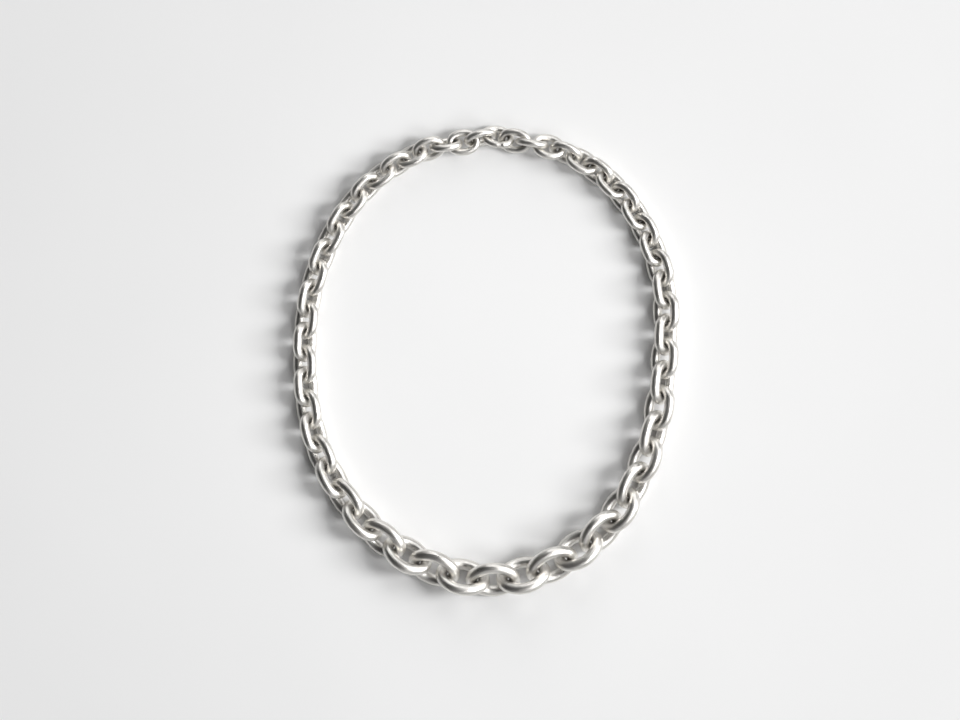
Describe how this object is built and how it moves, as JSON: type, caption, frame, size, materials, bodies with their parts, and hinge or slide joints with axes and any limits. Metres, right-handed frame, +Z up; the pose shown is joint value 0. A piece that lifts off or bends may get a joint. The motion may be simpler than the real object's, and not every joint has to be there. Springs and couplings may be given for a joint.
{
  "type": "link chain necklace",
  "caption": "Graduated oval link chain necklace, closed in a loop and lying flat, with its largest links at the front and a plain clasp among the smallest links at the back.",
  "frame": {"origin": "centre of the loop's bounding box, on the surface that the chain lies on", "axes": "+Z up from the surface, +Y from the largest links at the front to the clasp at the back, +X to the right seen from above"},
  "size_m": [0.1394, 0.1702, 0.0132],
  "materials": {
    "silver": "satin sterling silver, lightly worn"
  },
  "bodies": {
    "root": {"chain_left": "silver", "chain_right": "silver", "clasp": "silver"}
  },
  "joints": []
}
